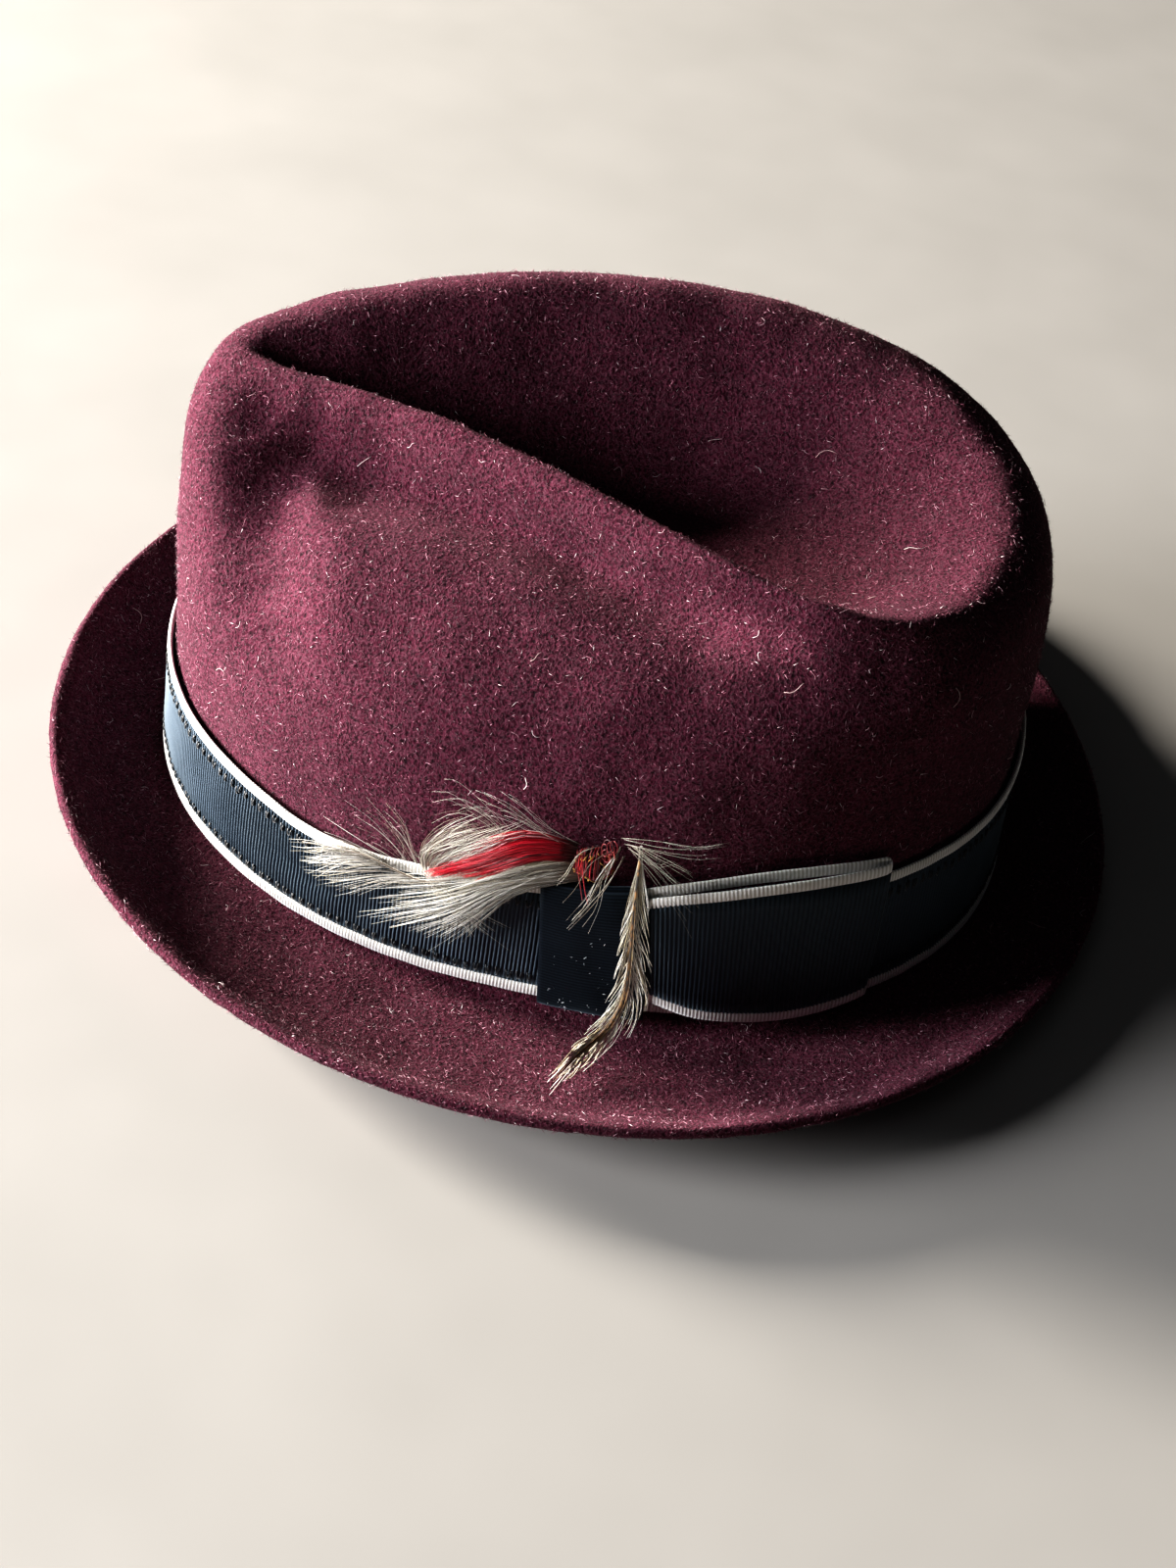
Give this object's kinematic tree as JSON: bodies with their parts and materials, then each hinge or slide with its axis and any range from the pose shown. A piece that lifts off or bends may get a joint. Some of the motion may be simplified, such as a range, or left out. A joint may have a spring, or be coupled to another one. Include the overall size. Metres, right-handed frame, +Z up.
{
  "type": "wool felt fedora with ribbon band, bow and feathers",
  "caption": "Burgundy wool felt fedora with a pinched teardrop crown, narrow upturned brim, navy ribbon band with cream edging, flat side bow and a bunch of feathers.",
  "frame": {"origin": "on the resting surface, under the middle of the brim", "axes": "+Z up through the crown, -Y towards the front of the hat, +X towards the wearer's left, where the bow and feathers are"},
  "size_m": [0.267, 0.267, 0.1131],
  "materials": {
    "wine_felt": "brushed wool felt, matt, with a soft nap of pale fibres",
    "navy_ribbon": "ribbed grosgrain ribbon with a low silky sheen",
    "cream_edging": "ribbed cream cord edging, matt",
    "cream_feather": "cream and grey-brown hackle barbs, slightly silky",
    "red_feather": "dyed red feather barbs, slightly silky",
    "red_thread": "wound red thread with gold specks"
  },
  "bodies": {
    "root": {"felt_body": "wine_felt", "band_ribbon": "navy_ribbon", "band_edging_bottom": "cream_edging", "band_edging_top": "cream_edging", "bow_loop": "navy_ribbon", "bow_edging_bottom": "cream_edging", "bow_edging_top": "cream_edging", "bow_knot": "navy_ribbon", "feather_plume": "cream_feather", "feather_red": "red_feather", "feather_drop": "cream_feather", "feather_binding": "red_thread"}
  },
  "joints": []
}
